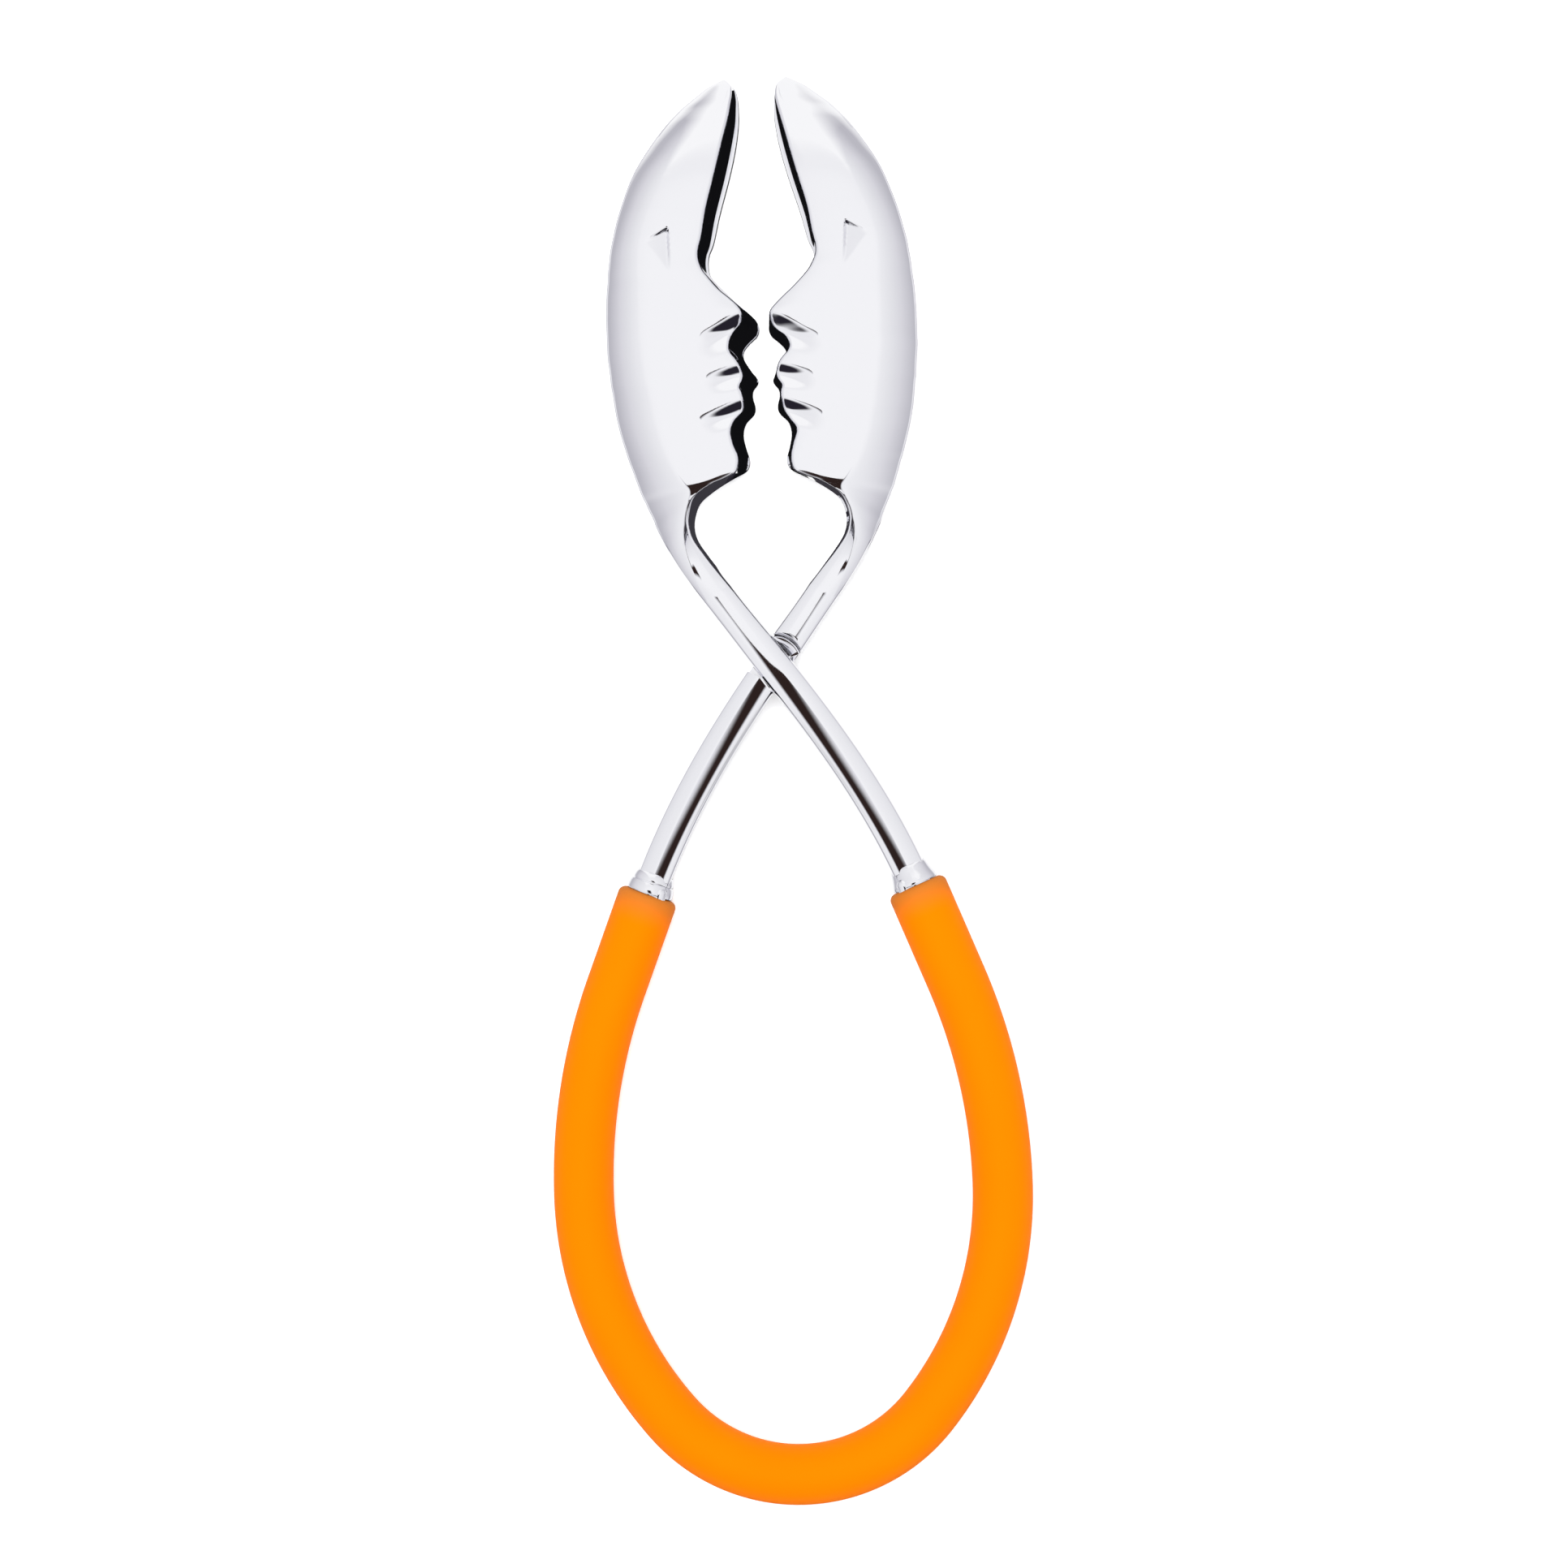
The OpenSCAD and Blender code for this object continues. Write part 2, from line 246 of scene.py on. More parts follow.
def arc(cx, cy, r, first, last, step):
    """Rows of x, y, normal x, normal y along an arc, in degrees."""
    count = max(2, round(abs(math.radians(last - first)) * r / step))
    a = np.radians(np.linspace(first, last, count + 1))
    return np.stack([cx + r * np.cos(a), cy + r * np.sin(a), np.cos(a), np.sin(a)], -1)


def leg_line(from_mouth, step):
    """The right leg's centreline, from a distance below the mouth to the lowest
    point of the loop, as rows of x, y and the outward normal."""
    d = np.linspace(from_mouth, STRAIGHT, max(2, round((STRAIGHT - from_mouth) / step)))
    straight = np.stack([MOUTH_X + d * SIN, MOUTH_Y - d * COS, 0 * d + COS, 0 * d + SIN], -1)
    return np.concatenate([
        straight,
        arc(HALF_WIDTH - SHOULDER_R, WIDEST_Y, SHOULDER_R, LEAN, 0, step)[1:],
        arc(HALF_WIDTH - FLANK_R, WIDEST_Y, FLANK_R, 0, -FLANK, step)[1:],
        arc(0, BOTTOM_Y, BOTTOM_R, -FLANK, -90, step)[1:],
    ])


def at_mouth(side):
    """Maps local points, with +Z out of a tube mouth and -Y up, to the object."""
    def place(p):
        p = np.asarray(p, float)
        x = side * MOUTH_X + p[:, 0] * COS - side * p[:, 2] * SIN
        y = MOUTH_Y + side * p[:, 0] * SIN + p[:, 2] * COS
        return np.stack([x, y, TUBE_R - p[:, 1]], -1)
    return place


# ---------------------------------------------------------------- the two jaws

# Each jaw is one zinc or steel casting, chrome plated: a crescent moon with a
# profile face, a neck and a crossing arm. The face is cut in the front plane,
# the wall under it is drafted from the mould, and a thin foot runs round the
# back. The rows go from the tip to the arm, in millimetres, for the right jaw:
# foot x, y, front edge x, y, outer edge x, y, crease share from front edge to
# outer edge, height of the front edge, rise inside it, crease height, share of
# the arm's own section, half left-right difference.
PIVOT = np.array([0, 17.4])
LAP_Z = 6.2
JAW_ROWS = np.array([
    (4.1, 99.9, 4.2, 99.8, 4.6, 99.8, .30, 2.2, 0, 2.2, 0, 0),
    (3.0, 98.7, 3.25, 98.6, 6.9, 98.6, .12, 4.4, .1, 4.4, 0, .05),
    (2.6, 97.3, 3.0, 97.1, 9.0, 97.0, .12, 6.0, .1, 6.1, 0, .1),
    (2.5, 95.8, 3.15, 95.6, 10.7, 95.6, .15, 7.1, .1, 7.2, 0, .1),
    (2.55, 93.5, 3.6, 93.2, 12.8, 93.2, .29, 8.4, .15, 8.6, 0, 0),
    (3.1, 90.0, 4.5, 89.7, 15.2, 89.7, .45, 9.6, .2, 9.8, 0, 0),
    (4.1, 86.0, 5.55, 85.6, 17.4, 85.8, .57, 10.4, .2, 10.6, 0, 0),
    (5.6, 81.0, 6.95, 80.5, 19.3, 80.7, .64, 10.8, .2, 11.0, 0, 0),
    (6.6, 77.1, 7.6, 76.8, 20.3, 77.0, .665, 11.0, .2, 11.2, 0, .05),
    (7.3, 75.4, 8.05, 75.0, 20.7, 75.2, .65, 11.1, .2, 11.25, 0, .1),
    (7.5, 74.0, 8.05, 73.6, 20.9, 73.8, .64, 11.15, .2, 11.3, 0, .15),
    (7.3, 72.6, 7.5, 72.2, 21.1, 72.4, .645, 11.2, .2, 11.3, 0, .25),
    (6.5, 71.4, 6.8, 71.2, 21.2, 71.2, .655, 11.2, .2, 11.3, 0, .25),
    (4.7, 69.5, 5.2, 69.4, 21.4, 69.5, .68, 11.2, .2, 11.35, 0, .4),
    (3.4, 68.2, 3.75, 68.1, 21.5, 68.2, .703, 11.2, .2, 11.4, 0, .4),
    (2.0, 66.9, 2.7, 67.1, 21.55, 67.0, .718, 11.2, .2, 11.4, 0, .4),
    (1.0, 65.8, 2.0, 66.2, 21.6, 66.0, .726, 11.2, .2, 11.4, 0, .5),
    (0.7, 64.7, 1.8, 65.3, 21.6, 65.0, .727, 11.2, .2, 11.4, 0, .55),
    (1.0, 63.7, 2.1, 64.4, 21.6, 64.0, .723, 11.2, .2, 11.4, 0, .6),
    (2.0, 62.8, 2.9, 63.5, 21.6, 63.1, .711, 11.2, .2, 11.4, 0, .7),
    (2.8, 61.9, 3.75, 62.6, 21.6, 62.2, .695, 11.2, .2, 11.4, 0, .4),
    (3.05, 61.1, 4.15, 61.5, 21.6, 61.3, .685, 11.2, .2, 11.4, 0, .25),
    (2.85, 60.3, 4.0, 60.6, 21.55, 60.4, .69, 11.2, .2, 11.4, 0, .25),
    (1.95, 58.8, 2.9, 59.2, 21.4, 58.9, .70, 11.2, .2, 11.4, 0, .35),
    (1.2, 57.8, 2.3, 57.7, 21.3, 57.6, .705, 11.2, .2, 11.4, 0, .35),
    (1.1, 57.1, 2.45, 56.7, 21.25, 56.8, .695, 11.2, .2, 11.4, 0, .3),
    (1.8, 56.1, 2.9, 55.8, 21.1, 55.9, .685, 11.2, .2, 11.4, 0, .2),
    (1.9, 55.1, 2.65, 54.8, 21.0, 55.0, .685, 11.2, .2, 11.4, 0, .15),
    (1.6, 53.8, 2.55, 53.5, 20.85, 53.7, .675, 11.2, .2, 11.4, 0, 0),
    (1.8, 52.8, 2.8, 52.4, 20.7, 52.6, .67, 11.2, .2, 11.4, 0, 0),
    (3.0, 51.5, 3.75, 51.2, 20.45, 51.3, .645, 11.2, .2, 11.35, 0, .2),
    (3.4, 49.9, 4.5, 49.7, 20.1, 49.7, .62, 11.2, .2, 11.37, 0, 0),
    (3.1, 48.1, 4.15, 47.9, 19.6, 47.9, .615, 11.2, .2, 11.36, 0, .1),
    (2.65, 46.5, 3.65, 46.3, 19.15, 46.3, .61, 11.2, .2, 11.35, 0, 0),
    (2.75, 45.4, 3.65, 44.9, 18.7, 45.0, .585, 11.2, .15, 11.34, 0, 0),
    (3.3, 44.8, 4.1, 43.9, 18.2, 43.4, .55, 11.22, .12, 11.33, 0, 0),
    (4.8, 44.1, 5.4, 43.2, 17.6, 41.6, .45, 11.24, .1, 11.32, 0, 0),
    (6.5, 43.1, 7.0, 42.6, 17.1, 40.5, .34, 11.25, .08, 11.3, 0, 0),
    (8.3, 41.9, 8.6, 41.7, 16.6, 39.3, .20, 11.25, .05, 11.25, 0, 0),
    (9.8, 40.6, 10.0, 40.6, 16.0, 38.0, .07, 11.1, .03, 11.15, 0, -.1),
    (10.5, 39.0, 10.75, 39.0, 15.6, 36.8, .07, 10.3, .1, 10.9, .02, -.2),
    (10.7, 37.2, 11.05, 37.1, 15.0, 35.5, .13, 9.5, .2, 10.5, .08, -.25),
    (10.2, 35.3, 10.6, 35.1, 14.1, 33.6, .20, 9.0, .4, 10.0, .2, -.3),
    (8.8, 33.1, 9.2, 32.9, 12.6, 31.0, .33, 8.6, .8, 9.4, .38, -.3),
    (7.0, 30.7, 7.4, 30.5, 10.9, 28.5, .50, 8.2, 1.2, 8.8, .6, -.15),
    (5.35, 28.5, 5.75, 28.3, 9.25, 26.2, .66, 8.0, 1.45, 8.2, .85, -.1),
])
ARM_LEAN = 37
ARM_R = 2.35
LAP_HALF = 3.3
GROOVE_DEPTH = 0.62


def arm_line(t):
    """The arm's centreline as in the CAD part: a Hermite curve that leaves the
    pivot at the crossing angle and reaches the tube mouth along its axis."""
    target = np.array([-MOUTH_X, MOUTH_Y])
    reach = np.linalg.norm(target - PIVOT)
    a = -np.array([math.sin(math.radians(ARM_LEAN)), math.cos(math.radians(ARM_LEAN))]) * reach
    b = -np.array([SIN, COS]) * reach
    t = np.asarray(t, float)[..., None]
    u = t * t * (3 - 2 * t)
    return PIVOT * (1 - u) + target * u + a * (t * (1 - t) ** 2) - b * (t * t * (1 - t))


def spline(rows, per_row):
    """Catmull-Rom through the rows, with per_row[k] steps in span k."""
    padded = np.concatenate([2 * rows[:1] - rows[1:2], rows, 2 * rows[-1:] - rows[-2:-1]])
    out = []
    for k, count in enumerate(per_row):
        p0, p1, p2, p3 = padded[k:k + 4]
        t = (np.arange(count) / count)[:, None]
        out.append(0.5 * (2 * p1 + (p2 - p0) * t + (2 * p0 - 5 * p1 + 4 * p2 - p3) * t * t
                          + (3 * p1 - p0 - 3 * p2 + p3) * t ** 3))
    out.append(rows[-1:])
    return np.concatenate(out)


def soften(values, reach):
    """The running mean of each column over 2 * reach + 1 rows, taken twice."""
    for _ in range(2):
        padded = np.concatenate([values[:1]] * reach + [values] + [values[-1:]] * reach)
        total = np.concatenate([0 * padded[:1], np.cumsum(padded, axis=0)])
        values = (total[2 * reach + 1:] - total[:-2 * reach - 1]) / (2 * reach + 1)
    return values


def groove(x, y, start, end, steep, gentle, reach):
    """A sawtooth crease from start, on the front edge, to end: a steep drop just
    above the line and a gentle rise below it, fading out towards its end. Its
    depth is a share of the steep side's width, which makes that side's steepest
    slope 1.5 times the share, or 43 degrees."""
    ax, ay = start
    dx, dy = end[0] - ax, end[1] - ay
    length = math.hypot(dx, dy)
    t = ((x - ax) * dx + (y - ay) * dy) / length
    d = (-(x - ax) * dy + (y - ay) * dx) / length
    side = np.where(d > 0, 1 - smooth(d / steep), 1 - smooth(-d / gentle))
    fade = 1 - smooth((t / length - 0.1) / (reach - 0.1))
    return -GROOVE_DEPTH * steep * side * fade


def bulge(x, y, cx, cy, rx, ry, height):
    """A soft round swelling."""
    return height * np.exp(-((x - cx) / rx) ** 2 - ((y - cy) / ry) ** 2)


def eye(x, y):
    """A triangular nick: deepest under its apex, rising away from it, with two
    steep sides that leave the apex."""
    ax, ay = 12.1, 78.3
    dx, dy = x - ax, ay - y
    below_lid = dy - 0.55 * dx
    beside = dx + 0.04 * dy
    inside = smooth(below_lid / 0.6) * smooth(beside / 0.4)
    depth = 0.75 * np.clip(1.1 - (0.6 * dx + 0.45 * dy) / 2.6, 0, 1)
    return -inside * depth


def relief(x, y):
    """The face's modelling, as a height added to the front plane."""
    z = groove(x, y, (2.6, 64.0), (7.4, 61.6), 1.7, 2.4, 1.35)
    z += groove(x, y, (2.4, 57.5), (6.9, 56.3), 1.5, 2.0, 1.3)
    z += groove(x, y, (3.2, 52.4), (7.6, 50.8), 1.5, 2.0, 1.35)
    z += bulge(x, y, 3.8, 66.2, 2.4, 1.4, 0.12)
    z += eye(x, y)
    return z


# Points of a section in its back, foot, wall, bevel, front plane, outer band and
# outer side. RELIEF_ZONES are those from the wall to the outer band.
ZONES = [12, 12, 14, 9, 42, 34, 13]
COUNT = sum(ZONES)
RELIEF_ZONES = slice(sum(ZONES[:2]), sum(ZONES[:6]))


def steps(count):
    """count shares from 0 up to, but without, 1."""
    return np.arange(count) / count


def face_ring(row, gain):
    """The casting's section at one row: back, foot, drafted wall, bevel, front
    plane, outer band and outer side. gain scales the wall's draft left or right."""
    foot, front, outer = row[0:2], row[2:4] + np.array([gain * row[11], 0]), row[4:6]
    crease_share, edge_z, rise, crease_z = row[6:10]
    small = min(1.0, edge_z / 8)
    across = outer - front
    width = np.linalg.norm(across)
    line = []

    def put(base, away, z):
        """Adds a point at a plane place and a height."""
        line.append(np.concatenate([base + away, [z]]))

    # back, from the outer side to the foot
    for s in steps(ZONES[0]):
        put(foot, (outer - foot) * (0.04 + 0.92 * (1 - s)), 0.0)
    # foot: a small round-edged shelf
    shelf = foot + (front - foot) * np.interp(foot[1], [44, 47, 66, 70], [0.4, 0.06, 0.06, 0.28])
    for s in steps(ZONES[1]):
        a = math.radians(-90 + 150 * s)
        z = 0.55 + 0.55 * math.sin(a) if s < 0.6 else 1.1 + 0.6 * (s - 0.6)
        put(foot, (shelf - foot) * (0.5 - 0.5 * math.cos(a)), small * z)
    # wall
    low, high = small * 1.35, edge_z - 0.6 * small
    for s in steps(ZONES[2]):
        put(shelf, (front - shelf) * s, low + (high - low) * s)
    # bevel at the front edge
    lip = min(0.6 * small, 0.1 * width)
    for s in steps(ZONES[3]):
        a = math.radians(90 * s)
        put(front, across / width * lip * (1 - math.cos(a)), high + (edge_z - high) * math.sin(a))
    # front plane up to the crease
    first = lip / width
    span = max(crease_share - first, 0.002)
    for s in steps(ZONES[4]):
        hump = (1 - math.exp(-s * span * width / 1.5)) * (1 - math.exp(-(1 - s) * span * width / 1.5))
        put(front, across * (first + span * s), edge_z + (crease_z - edge_z) * s ** 1.5 + rise * hump)
    # outer band: its tilt grows evenly towards the outer corner
    band = width * (1 - crease_share) - 0.25 * small
    shares = np.linspace(0, 1, ZONES[5] + 1)
    tilt = np.radians(np.interp(shares, [0, 0.35, 0.7, 1], [5, 26, 44, 57]))
    fall = np.concatenate([[0], np.cumsum(np.tan((tilt[1:] + tilt[:-1]) / 2))]) / ZONES[5]
    corner_z = crease_z - band * fall[-1]
    for k, s in enumerate(steps(ZONES[5])):
        put(front, across * (crease_share + (band / width) * s), crease_z - band * fall[k])
    # outer side: a round corner, then down to the back
    for s in steps(ZONES[6]):
        a = math.radians(90 * min(1.0, s * 2))
        reach = 0.25 * small * math.sin(a)
        z = corner_z - 0.3 * small * (1 - math.cos(a)) - max(0, s - 0.5) * 2 * (corner_z - 0.3 * small)
        back = 0.9 * small * smooth((s - 0.55) / 0.45)
        put(outer, across / width * (reach - 0.25 * small - back), z)
    return np.array(line)


def crown(ridge):
    """The arm's upper side over its width from -1 to 1, in half widths. The sine
    of its tilt is a broken line that jumps at a soft ridge, and the height is
    the sum of the slopes."""
    fine = -np.cos(np.linspace(0, math.pi, 2001))
    bends = [-1, -0.94, -0.86, ridge - 0.4, ridge - 0.03, ridge + 0.03, ridge + 0.5, 0.82, 0.88, 1]
    sine = np.interp(fine, bends, [-1, -0.95, -0.5, -0.27, -0.17, -0.035, 0.05, 0.32, 0.85, 1])
    sine = np.clip(sine, -0.9995, 0.9995)
    slope = -sine / np.sqrt(1 - sine ** 2)
    return fine, np.concatenate([[0], np.cumsum((slope[1:] + slope[:-1]) / 2 * np.diff(fine))])


def arm_ring(inner, outer, mid_z, half, ridge):
    """The arm's section between its two side points: the ridged crown above and
    half an ellipse below, with the same zones of points as face_ring."""
    fine, height = crown(ridge)
    reach = np.linalg.norm(outer - inner) / 2
    bottom = mid_z - half
    left = mid_z + half - reach * height.max()
    right = left + reach * height[-1]
    line = []
    spans = [(0.5, -0.5), (-0.5, -0.985), (-1, -0.87), (-0.87, -0.80), (-0.80, 0.85), (0.85, 0.99),
             (1, 0.5)]
    for (first, last), count in zip(spans, ZONES):
        upper = last > first
        angle = np.arccos(first) + (np.arccos(last) - np.arccos(first)) * steps(count)
        p = np.cos(angle)
        if upper:
            z = left + reach * np.interp(p, fine, height)
        else:
            side = left + (right - left) * (p + 1) / 2
            z = side - (side - bottom) * np.sin(angle)
        line.append(np.concatenate([inner + np.outer((p + 1) / 2, outer - inner), z[:, None]], 1))
    return np.concatenate(line)


def jaw_rings(gain):
    """All sections of a jaw from the tip to the end of its spigot."""
    gaps = np.maximum(np.linalg.norm(np.diff(JAW_ROWS[:, 0:2], axis=0), axis=1),
                      np.linalg.norm(np.diff(JAW_ROWS[:, 4:6], axis=0), axis=1))
    rows = spline(JAW_ROWS, np.maximum(3, np.round(gaps / 0.22)).astype(int))
    width = np.linalg.norm(rows[:, 4:6] - rows[:, 2:4], axis=1)
    band = soften((width * (1 - rows[:, 6]))[:, None], 9)[:, 0]
    steady = smooth((94 - rows[:, 3]) / 4)
    rows[:, 6] += steady * (1 - band / width - rows[:, 6])
    rows[:, 9] += steady * (soften(rows[:, 9:10], 9)[:, 0] - rows[:, 9])
    rings = []
    for row in rows:
        ring = face_ring(row, gain)
        share = max(0.0, row[10])
        if share > 0:
            ring = ring * (1 - share) + arm_ring(row[0:2], row[4:6], LAP_Z, LAP_HALF, -0.3) * share
        x, y, z = ring[RELIEF_ZONES].T
        ahead = np.clip((z - 0.35 * row[7]) / (0.6 * row[7]), 0, 1)
        ring[RELIEF_ZONES, 2] += relief(x - gain * row[11], y) * smooth(ahead) * smooth((y - 40) / 3)
        rings.append(ring)
    # straight run to the pivot, then the curved arm
    last = JAW_ROWS[-1]
    side_in, side_out = last[0:2], last[4:6]
    across0 = side_out - side_in
    centre0 = (side_in + side_out) / 2
    for k in range(1, 34):
        s = k / 33
        centre = centre0 * (1 - s) + PIVOT * s
        n = np.array([math.cos(math.radians(ARM_LEAN)), -math.sin(math.radians(ARM_LEAN))])
        across = across0 * (1 - smooth(s)) + n * 2 * ARM_R * smooth(s)
        row_share = 0.85 + 0.15 * smooth(s)
        ridge = -0.3 + 0.1 * s
        ring = arm_ring(centre - across / 2, centre + across / 2, LAP_Z, LAP_HALF, ridge)
        base = face_ring(last, gain)
        base[:, 0:2] += centre - centre0
        rings.append(base * (1 - row_share) + ring * row_share)
    for k in range(1, 91):
        t = k / 90 * 0.935
        centre = arm_line(t)
        d = arm_line(t + 0.005) - arm_line(t - 0.005)
        n = np.array([-d[1], d[0]]) / np.linalg.norm(d)
        n = n if n[0] > 0 else -n
        ease = smooth(t)
        half = LAP_HALF * (1 - ease) + ARM_R * ease
        mid = LAP_Z * (1 - ease) + TUBE_R * ease
        ridge = -0.2 + 0.15 * ease
        rings.append(arm_ring(centre - n * ARM_R, centre + n * ARM_R, mid, half, ridge))
    # spigot: round, through the collar and into the tube
    last = rings[-1]
    n = np.array([COS, -SIN])
    u = (last[:, 0:2] - centre) @ n
    v = last[:, 2] - TUBE_R
    size = np.hypot(u, v)
    for d, r in ((-2.4, SPIGOT_R), (-2.2, SPIGOT_R), (11.5, SPIGOT_R), (11.9, 1.8)):
        middle = np.array([-(MOUTH_X + d * SIN), MOUTH_Y - d * COS])
        ring = np.concatenate([middle + np.outer(u / size * r, n), (TUBE_R + v / size * r)[:, None]], 1)
        rings.append(ring)
    return np.array(rings)


def build_jaw(name, side):
    """Lofts a jaw's sections and closes both ends. side is -1 for the left jaw,
    the mirror image, whose wall is drafted more."""
    rings = jaw_rings(1.0 if side < 0 else -1.0)
    n = len(rings)
    points = np.concatenate([rings.reshape(-1, 3), [rings[0].mean(0), rings[-1].mean(0)]])
    faces = [loft_faces(n, COUNT), fan(0, COUNT, n * COUNT, False),
             fan((n - 1) * COUNT, COUNT, n * COUNT + 1, True)]
    if side < 0:
        points, faces = mirrored(points, faces)
    return mesh_object(name, points, faces, CHROME)


def at_pivot(p):
    """Maps local points to the pivot's axis."""
    return np.asarray(p, float) + np.array([PIVOT[0], PIVOT[1], 0])


def at_pocket(turn):
    """Maps local points to the pivot's axis, flattened on the lower left against
    the line that the upper arm's edge reaches when it is turned by the angle."""
    a = math.radians(180 + ARM_LEAN + turn)
    n = np.array([math.cos(a), math.sin(a), 0])

    def place(p):
        p = np.asarray(p, float)
        past = np.maximum(0, p @ n - ARM_R - 0.25)
        return at_pivot(p - past[:, None] * n)
    return place


def pocket(turn):
    """A turned cutter whose top flares out, which rounds the shoulder it cuts."""
    profile = [(0, LAP_Z - 0.2)]
    for a in range(-90, 1, 15):
        turned = math.radians(a)
        profile.append((3.75 + 0.4 * math.cos(turned), LAP_Z + 0.2 + 0.4 * math.sin(turned)))
    for a in range(0, 91, 10):
        profile.append((5.15 - math.cos(math.radians(a)), 8.4 + 1.15 * math.sin(math.radians(a))))
    return lathe("cutter", profile + [(5.4, 14), (0, 14)], CHROME, at_pocket(turn), 96)


def socket_tools(side):
    """The wire's blind socket in a spigot and the cross pin's hole, for cuts."""
    at = at_mouth(side)

    def across(p):
        """Turns local Z into the pin's direction, 5 mm inside the mouth."""
        return at(np.stack([p[:, 0], -p[:, 2], p[:, 1] - 5], -1))

    return [cylinder(1.55, -13, -3, at, 48), cylinder(0.55, -4, 4, across, 24)]


# The left jaw's lap lies in front, over the right one's pocket. The screw comes
# in from the back through the right jaw, whose recess hides its head.
left_jaw = build_jaw("left_jaw_casting", -1)
right_jaw = build_jaw("right_jaw_casting", 1)
left_lap = [cylinder(4.3, -1, LAP_Z + 0.2, at_pivot), cylinder(1.02, 0, LAP_Z + 2.0, at_pivot, 48)]
right_lap = [pocket(-2), pocket(22), cylinder(1.25, 1, LAP_Z + 1, at_pivot, 48),
             cylinder(1.75, -1, LAP_Z - LAP_HALF + 1.05, at_pivot, 48)]
combine(left_jaw, left_lap + socket_tools(1), "DIFFERENCE")
combine(right_jaw, right_lap + socket_tools(-1), "DIFFERENCE")
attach(left_jaw, "left_jaw_arm")
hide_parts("left_jaw")
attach(right_jaw, "right_jaw_arm")
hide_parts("right_jaw")


# ---------------------------------------------------------------- collars

# A turned ferrule on each arm's end, chrome plated: it flares towards the tube,
# and a small rounded lug laps over the tube's lip. The left one has a fine
# turned ring half way up.
LUG_OUT = 2.5
LUG_TURN = 37


def at_lug(side):
    """Maps local points to a lug: at the rim of a tube mouth, turned from the
    front towards the inside of the loop."""
    place = at_mouth(side)
    angle = math.radians(-90 - side * LUG_TURN)

    def turned(p):
        """Moves points out to the rim and turns them round the mouth's axis."""
        p = np.asarray(p, float)
        x, y = p[:, 0] + LUG_OUT, p[:, 1]
        return place(np.stack([x * math.cos(angle) - y * math.sin(angle),
                               x * math.sin(angle) + y * math.cos(angle), p[:, 2]], -1))
    return turned


def build_collar(name, side, body, rows):
    """Turns the ferrule, joins the lug to it and bores it for the arm."""
    place = at_mouth(side)
    collar = lathe(name, [(0, 0.1)] + rows + [(2.42, 3.0), (0, 3.0)], CHROME, place, 128)
    round_end = [(math.sin(math.radians(a)), 0.1 - math.cos(math.radians(a))) for a in range(10, 91, 10)]
    top_end = [(math.sin(math.radians(a)), 0.7 - 0.9 * math.cos(math.radians(a)))
               for a in range(100, 171, 10)]
    lug = lathe("lug", [(0, -0.9)] + round_end + top_end + [(0, 1.6)], CHROME, at_lug(side), 48)
    combine(collar, [lug], "UNION")
    combine(collar, [cylinder(2.2, -2, 2.7, place), cylinder(2.45, 2.3, 4, place)], "DIFFERENCE")
    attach(collar, body)
    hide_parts(name.replace("_ferrule", ""))


build_collar("left_collar_ferrule", -1, "right_jaw_arm",
             [(3.1, 0.1), (3.25, 0.16), (3.3, 0.3), (3.27, 0.7), (3.2, 1.2), (3.08, 1.55), (2.9, 1.62),
              (2.86, 1.7), (2.92, 1.8), (2.9, 2.1), (2.8, 2.5), (2.68, 2.8), (2.55, 2.95)])
build_collar("right_collar_ferrule", 1, "left_jaw_arm",
             [(3.1, 0.1), (3.25, 0.16), (3.3, 0.3), (3.22, 0.7), (3.05, 1.2), (2.88, 1.7), (2.76, 2.2),
              (2.68, 2.6), (2.6, 2.85), (2.5, 2.97)])


# ---------------------------------------------------------------- handle tube

# One soft moulded silicone tube over the spring bow. It is made as two halves
# that meet at the bottom of the loop.
TUBE_SIDES = 96
LIP_R = 1.0
BORE_R = 1.62
SPIGOT_BORE_R = 2.3
SPIGOT_BORE_END = 12.3


def sweep(rows, sides):
    """Rings round a path. Each row is x, y, the outward normal and a radius r, and
    a ring's point is r cos a along the normal and r sin a below the path."""
    turn = np.arange(sides) * 2 * math.pi / sides
    across = np.cos(turn)[None, :] * rows[:, 4:5]
    return np.stack([
        rows[:, 0:1] + across * rows[:, 2:3],
        rows[:, 1:2] + across * rows[:, 3:4],
        TUBE_R + np.sin(-turn)[None, :] * rows[:, 4:5],
    ], -1).reshape(-1, 3)


